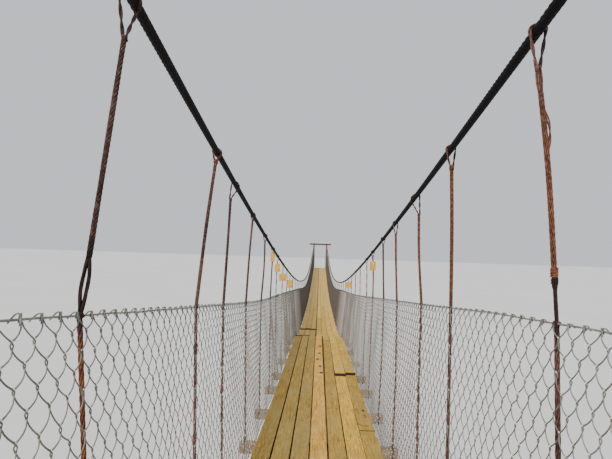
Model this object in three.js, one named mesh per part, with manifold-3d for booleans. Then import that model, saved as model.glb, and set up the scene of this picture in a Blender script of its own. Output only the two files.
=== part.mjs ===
// Suspension footbridge: a plank deck hung by twisted wire from two steel cables,
// with leaning wire-mesh sides, a steel portal at each end, concrete abutments and
// cable anchors. Millimetres, +Z up, +Y along the bridge from the near portal.
// It is a 1:2 scale model: each size below is the real one, halved by real().
import * as THREE from 'three';
import { mergeVertices } from 'three/addons/utils/BufferGeometryUtils.js';
import Module from 'manifold-3d';

const wasm = await Module();
wasm.setup();

const SCALE = 1 / 2;
const real = (size) => size * SCALE;

// Clearance between pieces that touch on the real bridge, not scaled.
const SEAT = 0.3;

// Span, measured between the middles of the two portals.
const SPAN = real(48600);
const FLOOR_TO_DECK_END = real(2400);

// Deck: long boards on crossbeams.
const DECK_WIDTH = real(1080);
const BOARD_THICKNESS = real(45);
const DECK_REST = real(300);

// Levels read from the photo, real millimetres: place along the bridge, then height
// over the deck's ends. The side rails differ only near the first portal.
const DECK_LEVELS = [
  [150, 0], [5000, -300], [9300, -450], [12300, -565], [14000, -785], [16400, -940],
  [20000, -1020], [27000, -1060], [34000, -815], [41000, -420], [48450, 0],
];
const RAIL_LEVELS_NEAR = {
  left: [[150, 1340], [2420, 1130], [4000, 990], [6500, 785]],
  right: [[150, 1250], [2420, 1152], [4000, 1035], [6500, 852]],
};
const RAIL_LEVELS_BEYOND = [
  [10000, 605], [16000, 255], [24300, -175], [33000, 20], [41000, 605], [48450, 1315],
];
const CABLE_LEVELS = [
  [150, 2350], [5000, 1700], [10000, 1080], [14000, 665], [18000, 370], [24300, 165],
  [30000, 245], [34000, 475], [39000, 925], [44000, 1570], [48450, 2350],
];

// Crossbeams under the boards, longer than the deck is wide.
const BEAM_LENGTH = real(1400);
const BEAM_WIDTH = real(90);
const BEAM_DEPTH = real(90);
const BEAM_BITE = 1;

// Hangers stand unevenly near the first portal, and the first ones lean: place of the
// crossbeam, then of each side's hanger at the rail and at the cable.
const LEANING_HANGERS = [
  { beam: 1150, left: [1150, 1150], right: [1150, 1150] },
  { beam: 2330, left: [2230, 2260], right: [2430, 2420] },
  { beam: 3565, left: [3500, 3620], right: [3630, 3480] },
  { beam: 4330, left: [4250, 4290], right: [4400, 4350] },
  { beam: 5390, left: [5290, 5310], right: [5490, 5480] },
  { beam: 6430, left: [6450, 6440], right: [6410, 6410] },
];
const UNEVEN_HANGERS = [7510, 8360, 9560, 10710, 11860];
const HANGER_PITCH = 1220;
const HANGER_COUNT = 40;
const HANGER_RADIUS = real(8);
const HANGER_SIDES = 4;
const HANGER_FOOT_X = real(655);

// Loop of a hanger around the main cable.
const LOOP_SIDES = 4;
const LOOP_LENGTH = real(16);
const LOOP_BAND = real(7);
const LOOP_CLEARANCE = 0.4;

// Top rail wire of the mesh sides.
const RAIL_X = real(680);
const RAIL_RADIUS = real(3);
const RAIL_SIDES = 3;

// Mesh side, a thin sheet that stands for the woven wire, with a grid of openings.
const MESH_FOOT_X = real(560);
const MESH_THICKNESS = real(6);
const MESH_BELOW_RAIL = real(8);
const MESH_CLEARANCE = 0.9;
const MESH_COLUMNS = 12;
const MESH_ROWS = 2;
const MESH_BAR = real(36);

// Main cables.
const CABLE_RADIUS = real(20);
const CABLE_SIDES = 6;
const CABLE_HEIGHT = real(2350);
const CABLE_X_AT_PORTAL = real(570);
const CABLE_SPREAD = real(115);
const CABLE_SPREAD_LENGTH = real(6450);

// Wooden blocks on some hangers: side, hanger number from the near end, width, height,
// and how far the middle is below the cable's.
const BLOCKS = [
  { name: 'left_wood_block_1', side: 'left', hanger: 6, width: 55, height: 115, drop: 110 },
  { name: 'left_wood_block_2', side: 'left', hanger: 7, width: 80, height: 120, drop: 170 },
  { name: 'left_wood_block_3', side: 'left', hanger: 8, width: 120, height: 125, drop: 225 },
  { name: 'left_wood_block_4', side: 'left', hanger: 10, width: 115, height: 170, drop: 225 },
  { name: 'right_wood_block_1', side: 'right', hanger: 6, width: 75, height: 120, drop: 185 },
  { name: 'right_wood_block_2', side: 'right', hanger: 11, width: 150, height: 150, drop: 160 },
];
const BLOCK_DEPTH = real(45);
const BLOCK_CLEARANCE = 0.6;

// Portals: two pipe posts between flat plates, under an I-shaped crossbar.
const POST_RADIUS = real(70);
const POST_SIDES = 24;
const POST_X = real(612);
const PLATE_WIDTH = real(140);
const PLATE_LENGTH = real(240);
const PLATE_THICKNESS = real(16);
const CROSSBAR_LENGTH = real(2050);
const CROSSBAR_HEIGHT = real(150);
const CROSSBAR_WIDTH = real(100);
const CROSSBAR_FLANGE = real(12);
const CROSSBAR_WEB = real(10);

// Concrete abutments.
const ABUTMENT_WIDTH = real(1800);
const ABUTMENT_FACE = real(150);
const ABUTMENT_BACK = real(950);
const ABUTMENT_BATTER = real(150);

// Concrete anchor blocks behind the portals.
const ANCHOR_DISTANCE = real(8200);
const ANCHOR_LENGTH = real(1300);
const ANCHOR_WIDTH = real(1700);
const ANCHOR_HEIGHT = real(950);
const ANCHOR_EYE_DROP = real(160);

// Each side and the deck are divided into this many lengths.
const BAYS = 5;
const HANGERS_PER_BAY = HANGER_COUNT / BAYS;

const MATERIALS = {
  wood: { color: 0xc49a5c, roughness: 0.8, metalness: 0.0 },
  paleWood: { color: 0xd8c07a, roughness: 0.75, metalness: 0.0 },
  cable: { color: 0x2a2522, roughness: 0.6, metalness: 0.6 },
  rustyWire: { color: 0x7a4030, roughness: 0.7, metalness: 0.5 },
  mesh: { color: 0x8f9693, roughness: 0.5, metalness: 0.7 },
  redSteel: { color: 0x7d4636, roughness: 0.7, metalness: 0.3 },
  concrete: { color: 0xa7a39a, roughness: 0.9, metalness: 0.0 },
};

// Hangers along the bridge, and the joints of the deck and wires, which lie halfway
// between crossbeams so that each hanger meets straight lengths.
function hangerPlaces() {
  const places = [...UNEVEN_HANGERS];
  while (places.length < HANGER_COUNT - LEANING_HANGERS.length) {
    places.push(places[places.length - 1] + HANGER_PITCH);
  }
  const upright = places.map((place) => ({ beam: place, left: [place, place], right: [place, place] }));
  return [...LEANING_HANGERS, ...upright].map(({ beam, left, right }) => ({
    beam: real(beam),
    left: { rail: real(left[0]), cable: real(left[1]) },
    right: { rail: real(right[0]), cable: real(right[1]) },
  }));
}
const HANGERS = hangerPlaces();
const JOINTS = HANGERS.slice(1).map((hanger, i) => (hanger.beam + HANGERS[i].beam) / 2);
const STATIONS = [ABUTMENT_FACE, ...JOINTS, SPAN - ABUTMENT_FACE];

// A smooth curve through hand-set levels, flat beyond its ends.
function curveThrough(levels) {
  const places = levels.map(([place]) => real(place));
  const heights = levels.map(([, level]) => FLOOR_TO_DECK_END + real(level));
  const rises = heights.slice(1).map((height, i) => (height - heights[i]) / (places[i + 1] - places[i]));
  const slopes = heights.map((_, i) => ((rises[i - 1] ?? rises[i]) + (rises[i] ?? rises[i - 1])) / 2);
  return (y) => {
    const at = Math.min(Math.max(y, places[0]), places[places.length - 1]);
    const i = Math.max(places.findIndex((place) => place >= at) - 1, 0);
    const length = places[i + 1] - places[i];
    const u = (at - places[i]) / length;
    const rest = 1 - u;
    return rest * rest * ((1 + 2 * u) * heights[i] + u * length * slopes[i])
      + u * u * ((1 + 2 * rest) * heights[i + 1] - rest * length * slopes[i + 1]);
  };
}

const deckCurve = curveThrough(DECK_LEVELS);
const cableCurve = curveThrough(CABLE_LEVELS);
const railCurves = {
  left: curveThrough([...RAIL_LEVELS_NEAR.left, ...RAIL_LEVELS_BEYOND]),
  right: curveThrough([...RAIL_LEVELS_NEAR.right, ...RAIL_LEVELS_BEYOND]),
};

function cableX(y) {
  const fromPortal = Math.max(Math.min(y, SPAN - y), 0);
  return CABLE_X_AT_PORTAL + CABLE_SPREAD * Math.tanh(fromPortal / CABLE_SPREAD_LENGTH);
}

// The rail wire ends at the middle of each post.
function railX(y) {
  const between = y > STATIONS[0] && y < STATIONS[STATIONS.length - 1];
  return between ? RAIL_X : POST_X;
}

// A curve's value between two stations, where the real thing runs straight.
function straightBetweenStations(curve, y) {
  const last = STATIONS.length - 2;
  let i = STATIONS.findIndex((station) => station > y) - 1;
  i = i < 0 ? (y < STATIONS[0] ? 0 : last) : i;
  const share = (y - STATIONS[i]) / (STATIONS[i + 1] - STATIONS[i]);
  return curve(STATIONS[i]) + share * (curve(STATIONS[i + 1]) - curve(STATIONS[i]));
}

function slopeAt(curve, y) {
  const step = real(10);
  const rise = straightBetweenStations(curve, y + step) - straightBetweenStations(curve, y - step);
  return rise / (2 * step);
}

// A path that an extrusion follows through exactly these points.
class StationPath extends THREE.Curve {
  constructor(points) {
    super();
    this.points = points;
  }

  getPoint(t, target = new THREE.Vector3()) {
    const place = t * (this.points.length - 1);
    const i = Math.min(Math.floor(place + 1e-6), this.points.length - 2);
    return target.lerpVectors(this.points[i], this.points[i + 1], place - i);
  }

  getPointAt(u, target) {
    return this.getPoint(u, target);
  }

  getTangentAt(u, target = new THREE.Vector3()) {
    const i = Math.round(u * (this.points.length - 1));
    const before = this.points[Math.max(i - 1, 0)];
    const after = this.points[Math.min(i + 1, this.points.length - 1)];
    return target.subVectors(after, before).normalize();
  }
}

function polygon(radius, sides) {
  const corners = [];
  for (let i = 0; i < sides; i += 1) {
    const angle = (i * 2 * Math.PI) / sides;
    corners.push(new THREE.Vector2(radius * Math.cos(angle), radius * Math.sin(angle)));
  }
  return corners;
}

function rodAlong(points, radius, sides) {
  return new THREE.ExtrudeGeometry(new THREE.Shape(polygon(radius, sides)), {
    steps: points.length - 1,
    bevelEnabled: false,
    extrudePath: new StationPath(points),
  });
}

// A side outline of [y, z] points, given its thickness across the bridge.
function sideOutline(points, thickness) {
  const shape = new THREE.Shape(points.map(([y, z]) => new THREE.Vector2(y, z)));
  const geometry = new THREE.ExtrudeGeometry(shape, { depth: thickness, bevelEnabled: false });
  geometry.translate(0, 0, -thickness / 2);
  const turn = new THREE.Matrix4().makeBasis(
    new THREE.Vector3(0, 1, 0),
    new THREE.Vector3(0, 0, 1),
    new THREE.Vector3(1, 0, 0),
  );
  return geometry.applyMatrix4(turn);
}

// Joining and cutting of closed geometries.
function toSolid(geometry) {
  const bare = geometry.clone();
  bare.deleteAttribute('normal');
  bare.deleteAttribute('uv');
  const merged = mergeVertices(bare, 1e-4);
  return new wasm.Manifold(new wasm.Mesh({
    numProp: 3,
    vertProperties: Float32Array.from(merged.attributes.position.array),
    triVerts: Uint32Array.from(merged.index.array),
  }));
}

function toGeometry(solid) {
  const mesh = solid.getMesh();
  const geometry = new THREE.BufferGeometry();
  geometry.setAttribute('position', new THREE.BufferAttribute(mesh.vertProperties, 3));
  geometry.setIndex(new THREE.BufferAttribute(mesh.triVerts, 1));
  return geometry;
}

function join(geometries) {
  const solids = geometries.map(toSolid);
  return toGeometry(solids.reduce((whole, next) => whole.add(next)));
}

function cut(geometry, tool) {
  return toGeometry(toSolid(geometry).subtract(toSolid(tool)));
}

// The right-hand piece, or its mirror image for the left side.
function onSide(geometry, side) {
  if (side > 0) {
    return geometry;
  }
  const bare = geometry.clone();
  bare.deleteAttribute('normal');
  bare.deleteAttribute('uv');
  const mirrored = mergeVertices(bare, 1e-4);
  mirrored.scale(-1, 1, 1);
  const index = mirrored.index.array;
  for (let i = 0; i < index.length; i += 3) {
    [index[i], index[i + 1]] = [index[i + 1], index[i]];
  }
  return mirrored;
}

const bridge = new THREE.Group();
bridge.position.y = -SPAN / 2;

function addPiece(name, geometry, look) {
  if (!geometry.attributes.normal) {
    geometry.computeVertexNormals();
  }
  const piece = new THREE.Mesh(geometry, new THREE.MeshStandardMaterial(MATERIALS[look]));
  piece.name = name;
  bridge.add(piece);
  return piece;
}

// Places at which the pieces of one bay start, bend and end.
function bayPlaces(number, firstPlace, lastPlace) {
  const first = number * HANGERS_PER_BAY;
  const start = number === 0 ? firstPlace : STATIONS[first] + SEAT / 2;
  const end = number === BAYS - 1 ? lastPlace : STATIONS[first + HANGERS_PER_BAY] - SEAT / 2;
  return [start, ...STATIONS.filter((station) => station > start && station < end), end];
}

function bayHangers(number) {
  return HANGERS.slice(number * HANGERS_PER_BAY, (number + 1) * HANGERS_PER_BAY);
}

// Level at a place: flat over the abutments, straight between stations elsewhere.
function levelAt(curve, y) {
  const start = STATIONS[0];
  const end = STATIONS[STATIONS.length - 1];
  return straightBetweenStations(curve, Math.min(Math.max(y, start), end));
}

function crossbeam(y) {
  const beam = new THREE.BoxGeometry(BEAM_LENGTH, BEAM_WIDTH, BEAM_DEPTH);
  beam.translate(0, 0, -BEAM_DEPTH / 2 + BEAM_BITE);
  beam.rotateX(Math.atan(slopeAt(deckCurve, y)));
  beam.translate(0, y, levelAt(deckCurve, y) - BOARD_THICKNESS);
  return beam;
}

function deckSection(number) {
  const places = bayPlaces(number, -DECK_REST, SPAN + DECK_REST);
  const top = places.map((y) => [y, levelAt(deckCurve, y)]);
  const underside = top.map(([y, z]) => [y, z - BOARD_THICKNESS]).reverse();
  const boards = sideOutline([...underside, ...top], DECK_WIDTH);
  return join([boards, ...bayHangers(number).map(({ beam }) => crossbeam(beam))]);
}

// Openings of a mesh side, rows of four-cornered holes between even bars, as a tool.
function meshOpenings(start, end, footLevel, topLevel) {
  const pitch = (end - start - MESH_BAR) / MESH_COLUMNS;
  const openings = [];
  for (let column = 0; column < MESH_COLUMNS; column += 1) {
    const near = start + MESH_BAR + column * pitch;
    const far = near + pitch - MESH_BAR;
    for (let row = 0; row < MESH_ROWS; row += 1) {
      const corner = (y, edge) => {
        const height = topLevel(y) - footLevel(y);
        const clear = (height - MESH_BAR) / MESH_ROWS - MESH_BAR;
        return [y, footLevel(y) + MESH_BAR + row * (clear + MESH_BAR) + edge * clear];
      };
      const corners = [corner(near, 0), corner(far, 0), corner(far, 1), corner(near, 1)];
      openings.push(sideOutline(corners, MESH_THICKNESS * 2));
    }
  }
  return join(openings);
}

// Mesh side: its foot stands on the crossbeams, its top leans out against the hangers.
function meshPanel(number, sideName) {
  const plateEnd = PLATE_LENGTH / 2 + SEAT;
  const places = bayPlaces(number, plateEnd, SPAN - plateEnd);
  const footLevel = (y) => levelAt(deckCurve, y) - BOARD_THICKNESS + BEAM_BITE + SEAT;
  const topLevel = (y) => levelAt(railCurves[sideName], y) - MESH_BELOW_RAIL;
  const inFromRail = HANGER_RADIUS + MESH_CLEARANCE + MESH_THICKNESS / 2;
  const top = places.map((y) => [y, topLevel(y)]);
  const foot = places.map((y) => [y, footLevel(y)]).reverse();
  const openings = meshOpenings(places[0], places[places.length - 1], footLevel, topLevel);
  const sheet = cut(sideOutline([...foot, ...top], MESH_THICKNESS), openings);
  const position = sheet.attributes.position;
  for (let i = 0; i < position.count; i += 1) {
    const y = position.getY(i);
    const share = (position.getZ(i) - footLevel(y)) / (topLevel(y) - footLevel(y));
    const topX = levelAt(railX, y) - inFromRail;
    position.setX(i, position.getX(i) + MESH_FOOT_X + share * (topX - MESH_FOOT_X));
  }
  return sheet;
}

function cablePoint(y) {
  return new THREE.Vector3(straightBetweenStations(cableX, y), y, straightBetweenStations(cableCurve, y));
}

// Loop around the cable, square to its run.
function hangerLoop(y) {
  const inner = (CABLE_RADIUS + LOOP_CLEARANCE) / Math.cos(Math.PI / LOOP_SIDES);
  const shape = new THREE.Shape(polygon(inner + LOOP_BAND, LOOP_SIDES));
  shape.holes.push(new THREE.Path(polygon(inner, LOOP_SIDES)));
  const loop = new THREE.ExtrudeGeometry(shape, { depth: LOOP_LENGTH, bevelEnabled: false });
  loop.translate(0, 0, -LOOP_LENGTH / 2);
  loop.rotateX(-Math.PI / 2);
  loop.rotateX(Math.atan(slopeAt(cableCurve, y)));
  const centre = cablePoint(y);
  return loop.translate(centre.x, centre.y, centre.z);
}

function railPoint(y, sideName) {
  return new THREE.Vector3(levelAt(railX, y), y, levelAt(railCurves[sideName], y));
}

function hangerTop(y) {
  const top = cablePoint(y);
  top.z -= CABLE_RADIUS + LOOP_CLEARANCE + LOOP_BAND / 2;
  return top;
}

// A hanger runs from its loop out to the rail wire and down to the crossbeam.
function hangerRod(hanger, sideName) {
  const y = hanger.beam;
  const slope = Math.abs(slopeAt(deckCurve, y));
  const beamTop = levelAt(deckCurve, y) - BOARD_THICKNESS + BEAM_BITE;
  const foot = new THREE.Vector3(HANGER_FOOT_X, y, beamTop + SEAT + slope * HANGER_RADIUS);
  const { rail, cable } = hanger[sideName];
  return rodAlong([hangerTop(cable), railPoint(rail, sideName), foot], HANGER_RADIUS, HANGER_SIDES);
}

// The hangers of a bay, tied together by their length of rail wire.
function hangerRow(number, sideName) {
  const postFace = POST_RADIUS + SEAT;
  const places = bayPlaces(number, postFace, SPAN - postFace);
  const rail = rodAlong(places.map((y) => railPoint(y, sideName)), RAIL_RADIUS, RAIL_SIDES);
  const hangers = bayHangers(number).flatMap((hanger) => [
    hangerRod(hanger, sideName),
    hangerLoop(hanger[sideName].cable),
  ]);
  return join([rail, ...hangers]);
}

// Main cable: level over the crossbars, hung between them, and drawn straight down
// to an anchor block at each end.
const PORTAL_TOP = FLOOR_TO_DECK_END + CABLE_HEIGHT - CABLE_RADIUS - SEAT;
const STAY_TOP = new THREE.Vector2(-ABUTMENT_FACE, cableCurve(0));
const STAY_FOOT = new THREE.Vector2(-ANCHOR_DISTANCE, ANCHOR_HEIGHT - ANCHOR_EYE_DROP);

function mainCable() {
  const x = CABLE_X_AT_PORTAL;
  const span = STATIONS.map((y) => new THREE.Vector3(cableX(y), y, cableCurve(y)));
  const points = [
    new THREE.Vector3(x, STAY_FOOT.x, STAY_FOOT.y),
    new THREE.Vector3(x, STAY_TOP.x, STAY_TOP.y),
    ...span,
    new THREE.Vector3(x, SPAN - STAY_TOP.x, STAY_TOP.y),
    new THREE.Vector3(x, SPAN - STAY_FOOT.x, STAY_FOOT.y),
  ];
  return rodAlong(points, CABLE_RADIUS, CABLE_SIDES);
}

// A block is threaded on its hanger.
function woodBlock({ side, hanger, width, height, drop }) {
  const places = HANGERS[hanger][side];
  const top = hangerTop(places.cable);
  const rail = railPoint(places.rail, side);
  const underLoop = real(drop) - (CABLE_RADIUS + LOOP_CLEARANCE + LOOP_BAND / 2);
  const centre = new THREE.Vector3().lerpVectors(top, rail, underLoop / (top.z - rail.z));
  const block = new THREE.BoxGeometry(real(width), BLOCK_DEPTH, real(height));
  block.translate(centre.x, centre.y, centre.z);
  const bore = rodAlong([top, rail], HANGER_RADIUS + BLOCK_CLEARANCE, HANGER_SIDES);
  return cut(block, bore);
}

function portalPost() {
  const foot = FLOOR_TO_DECK_END - BOARD_THICKNESS;
  const top = PORTAL_TOP - CROSSBAR_HEIGHT - SEAT;
  const pipe = new THREE.CylinderGeometry(POST_RADIUS, POST_RADIUS, top - foot - PLATE_THICKNESS, POST_SIDES);
  pipe.rotateX(Math.PI / 2);
  pipe.translate(0, 0, (top + foot) / 2);
  const plates = [foot + PLATE_THICKNESS / 2, top - PLATE_THICKNESS / 2].map((z) => {
    const plate = new THREE.BoxGeometry(PLATE_WIDTH, PLATE_LENGTH, PLATE_THICKNESS);
    return plate.translate(0, 0, z);
  });
  return join([pipe, ...plates]);
}

// I-shaped bar, lying across the bridge.
function crossbar() {
  const half = CROSSBAR_WIDTH / 2;
  const web = CROSSBAR_WEB / 2;
  const top = PORTAL_TOP;
  const bottom = PORTAL_TOP - CROSSBAR_HEIGHT;
  const underTop = top - CROSSBAR_FLANGE;
  const overBottom = bottom + CROSSBAR_FLANGE;
  return sideOutline([
    [-half, bottom], [half, bottom], [half, overBottom], [web, overBottom],
    [web, underTop], [half, underTop], [half, top], [-half, top],
    [-half, underTop], [-web, underTop], [-web, overBottom], [-half, overBottom],
  ], CROSSBAR_LENGTH);
}

// Abutment of the near end; the far one is turned half round.
function abutment() {
  const top = FLOOR_TO_DECK_END - BOARD_THICKNESS - SEAT;
  return sideOutline([
    [-ABUTMENT_BACK, 0],
    [ABUTMENT_FACE + ABUTMENT_BATTER, 0],
    [ABUTMENT_FACE, top],
    [-ABUTMENT_BACK, top],
  ], ABUTMENT_WIDTH);
}

// Anchor block with a corner cut square to the cable that ends in it.
function anchorBlock() {
  const run = new THREE.Vector2().subVectors(STAY_TOP, STAY_FOOT).normalize();
  const seat = STAY_FOOT.clone().addScaledVector(run, -SEAT);
  const toTop = (ANCHOR_HEIGHT - seat.y) / run.x;
  const topCorner = [seat.x - toTop * run.y, ANCHOR_HEIGHT];
  const faceHeight = ANCHOR_HEIGHT / 2;
  const toFace = (seat.y - faceHeight) / run.x;
  const faceCorner = [seat.x + toFace * run.y, faceHeight];
  return sideOutline([
    [faceCorner[0] - ANCHOR_LENGTH, 0],
    [faceCorner[0], 0],
    faceCorner,
    topCorner,
    [faceCorner[0] - ANCHOR_LENGTH, ANCHOR_HEIGHT],
  ], ANCHOR_WIDTH);
}

const SIDES = [
  { name: 'left', side: -1 },
  { name: 'right', side: 1 },
];
const ENDS = [
  { name: 'near', y: 0, turn: 0 },
  { name: 'far', y: SPAN, turn: Math.PI },
];

for (const end of ENDS) {
  for (const block of [
    addPiece(`${end.name}_abutment`, abutment(), 'concrete'),
    addPiece(`${end.name}_anchor_block`, anchorBlock(), 'concrete'),
    addPiece(`${end.name}_crossbar`, crossbar(), 'redSteel'),
  ]) {
    block.position.y = end.y;
    block.rotation.z = end.turn;
  }
  for (const { name, side } of SIDES) {
    const post = addPiece(`${end.name}_${name}_post`, portalPost(), 'redSteel');
    post.position.set(side * POST_X, end.y, 0);
  }
}

for (let bay = 0; bay < BAYS; bay += 1) {
  addPiece(`deck_section_${bay + 1}`, deckSection(bay), 'wood');
  for (const { name, side } of SIDES) {
    addPiece(`${name}_mesh_panel_${bay + 1}`, onSide(meshPanel(bay, name), side), 'mesh');
    addPiece(`${name}_hangers_${bay + 1}`, onSide(hangerRow(bay, name), side), 'rustyWire');
  }
}

for (const { name, side } of SIDES) {
  addPiece(`${name}_main_cable`, onSide(mainCable(), side), 'cable');
}

for (const block of BLOCKS) {
  addPiece(block.name, onSide(woodBlock(block), block.side === 'left' ? -1 : 1), 'paleWood');
}

export default bridge;
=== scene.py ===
# Looks of the suspension footbridge, a 1:2 scale model. Metres, +Z up, +Y along the
# bridge from the near portal to the far one.
import math
from collections import namedtuple

import bmesh
import bpy
import numpy as np
from mathutils import Matrix, Vector


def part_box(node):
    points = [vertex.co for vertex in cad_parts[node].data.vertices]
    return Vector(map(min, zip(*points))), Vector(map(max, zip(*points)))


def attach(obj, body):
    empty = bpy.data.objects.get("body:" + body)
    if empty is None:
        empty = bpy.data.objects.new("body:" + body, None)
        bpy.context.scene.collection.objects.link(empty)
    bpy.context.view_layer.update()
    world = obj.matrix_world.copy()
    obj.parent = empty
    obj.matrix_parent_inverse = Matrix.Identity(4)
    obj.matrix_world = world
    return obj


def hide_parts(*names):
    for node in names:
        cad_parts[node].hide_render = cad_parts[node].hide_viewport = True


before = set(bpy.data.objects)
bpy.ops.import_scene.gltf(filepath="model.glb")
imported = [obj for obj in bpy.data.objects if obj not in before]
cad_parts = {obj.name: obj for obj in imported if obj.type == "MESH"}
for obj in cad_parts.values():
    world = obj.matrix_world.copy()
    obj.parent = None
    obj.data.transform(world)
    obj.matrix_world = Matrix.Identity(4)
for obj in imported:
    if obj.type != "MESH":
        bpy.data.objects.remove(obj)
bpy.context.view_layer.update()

SCALE = 0.5e-3
ACROSS, ALONG, UP = np.eye(3)
SIDES = (("left", -1), ("right", 1))
rng = np.random.default_rng(41)


def real(size):
    """Sizes of the real bridge in millimetres, as metres of the model."""
    return np.multiply(size, SCALE)


def stray(size, shape=None):
    """Random departures either way, their spread in real millimetres."""
    return rng.normal(0, real(size), shape)


# Driving sizes, the same as the solids', and the radius of the rope in them.
SPAN = real(48600)
FLOOR_TO_DECK_END = real(2400)
DECK_WIDTH = real(1080)
BOARD_THICKNESS = real(45)
DECK_REST = real(300)
BEAM_LENGTH = real(1400)
BEAM_WIDTH = real(90)
BEAM_DEPTH = real(90)
HANGER_PITCH = 1220
HANGER_COUNT = 40
HANGER_FOOT_X = real(655)
RAIL_X = real(680)
RAIL_RADIUS = real(3)
MESH_FOOT_X = real(560)
ROPE_RADIUS = real(17.7)
CABLE_HEIGHT = real(2350)
CABLE_X_AT_PORTAL = real(570)
CABLE_SPREAD = real(115)
CABLE_SPREAD_LENGTH = real(6450)
POST_RADIUS = real(70)
POST_X = real(612)
PLATE_LENGTH = real(240)
PLATE_THICKNESS = real(16)
CROSSBAR_FLANGE = real(12)
CROSSBAR_WEB = real(10)
ABUTMENT_FACE = real(150)
ANCHOR_DISTANCE = real(8200)
ANCHOR_HEIGHT = real(950)
ANCHOR_EYE_DROP = real(160)
BAYS = 5
PER_BAY = HANGER_COUNT // BAYS

# Real millimetres: place along the bridge, then height over the deck's ends.
DECK_LEVELS = [
    (150, 0), (5000, -300), (9300, -450), (12300, -565), (14000, -785), (16400, -940),
    (20000, -1020), (27000, -1060), (34000, -815), (41000, -420), (48450, 0),
]
RAIL_LEVELS_NEAR = {
    -1: [(150, 1340), (2420, 1130), (4000, 990), (6500, 785)],
    1: [(150, 1250), (2420, 1152), (4000, 1035), (6500, 852)],
}
RAIL_LEVELS_BEYOND = [
    (10000, 605), (16000, 255), (24300, -175), (33000, 20), (41000, 605), (48450, 1315),
]
CABLE_LEVELS = [
    (150, 2350), (5000, 1700), (10000, 1080), (14000, 665), (18000, 370), (24300, 165),
    (30000, 245), (34000, 475), (39000, 925), (44000, 1570), (48450, 2350),
]

# Real millimetres: place of the crossbeam, then of the left hanger at the rail and at
# the cable, then of the right one.
LEANING_HANGERS = [
    (1150, 1150, 1150, 1150, 1150),
    (2330, 2230, 2260, 2430, 2420),
    (3565, 3500, 3620, 3630, 3480),
    (4330, 4250, 4290, 4400, 4350),
    (5390, 5290, 5310, 5490, 5480),
    (6430, 6450, 6440, 6410, 6410),
]
UNEVEN_HANGERS = [7510, 8360, 9560, 10710, 11860]

# Places along the bridge are measured from the near portal; the origin is at mid span.
ORIGIN_Y = SPAN / 2


def hanger_places():
    rows = LEANING_HANGERS + [(place,) * 5 for place in UNEVEN_HANGERS]
    while len(rows) < HANGER_COUNT:
        rows.append((rows[-1][0] + HANGER_PITCH,) * 5)
    return real(rows)


PLACES = hanger_places()
HANGERS = PLACES[:, 0]
RAIL_PLACES = {-1: PLACES[:, 1], 1: PLACES[:, 3]}
CABLE_PLACES = {-1: PLACES[:, 2], 1: PLACES[:, 4]}
STATIONS = np.concatenate([
    [ABUTMENT_FACE], (HANGERS[1:] + HANGERS[:-1]) / 2, [SPAN - ABUTMENT_FACE]])
BAY_ENDS = STATIONS[::PER_BAY]


def bay_ends(near, far):
    """Where the bays end, for pieces that stop short of the portals."""
    return [near, *BAY_ENDS[1:-1], SPAN - far]


def curve_through(levels):
    """A smooth curve through given levels, flat beyond its ends."""
    places, heights = real(levels).T
    heights = heights + FLOOR_TO_DECK_END
    rises = np.diff(heights) / np.diff(places)
    slopes = (np.append(rises, rises[-1]) + np.insert(rises, 0, rises[0])) / 2

    def curve(y):
        at = np.clip(y, places[0], places[-1])
        i = np.clip(np.searchsorted(places, at) - 1, 0, len(places) - 2)
        length = places[i + 1] - places[i]
        u = (at - places[i]) / length
        rest = 1 - u
        return (rest ** 2 * ((1 + 2 * u) * heights[i] + u * length * slopes[i])
                + u ** 2 * ((1 + 2 * rest) * heights[i + 1] - rest * length * slopes[i + 1]))

    return curve


deck_curve = curve_through(DECK_LEVELS)
cable_curve = curve_through(CABLE_LEVELS)
rail_curves = {side: curve_through(near + RAIL_LEVELS_BEYOND)
               for side, near in RAIL_LEVELS_NEAR.items()}


def cable_x_curve(y):
    from_portal = np.maximum(np.minimum(y, SPAN - y), 0)
    return CABLE_X_AT_PORTAL + CABLE_SPREAD * np.tanh(from_portal / CABLE_SPREAD_LENGTH)


def rail_x_curve(y):
    """The rail wires end at the middle of each post."""
    return np.where((y > STATIONS[0]) & (y < STATIONS[-1]), RAIL_X, POST_X)


def level(curve, y):
    """The curve run straight between stations, with its corners eased."""
    ease = real(160)
    values = curve(STATIONS)
    steps = np.linspace(-ease, ease, 5)
    return sum(np.interp(y + step, STATIONS, values) for step in steps) / len(steps)


def beam_top(y):
    """The level of the boards' undersides."""
    return level(deck_curve, y) - BOARD_THICKNESS


def rail_point(y, side):
    return np.array([side * level(rail_x_curve, y), y, level(rail_curves[side], y)])


def cable_point(y, side):
    return np.array([side * level(cable_x_curve, y), y, level(cable_curve, y)])


# Piece making.
def add_object(name, data):
    item = bpy.data.objects.new(name, data)
    bpy.context.scene.collection.objects.link(item)
    return item


def add_piece(name, mesh, material, node, smooth=True):
    """Shows a mesh as one piece, in the place of a solid where a node is named."""
    mesh.polygons.foreach_set("use_smooth", np.full(len(mesh.polygons), smooth))
    mesh.materials.append(material)
    mesh.update()
    mesh.validate()
    piece = add_object(name, mesh)
    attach(piece, "root")
    if node:
        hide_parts(node)


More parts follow.
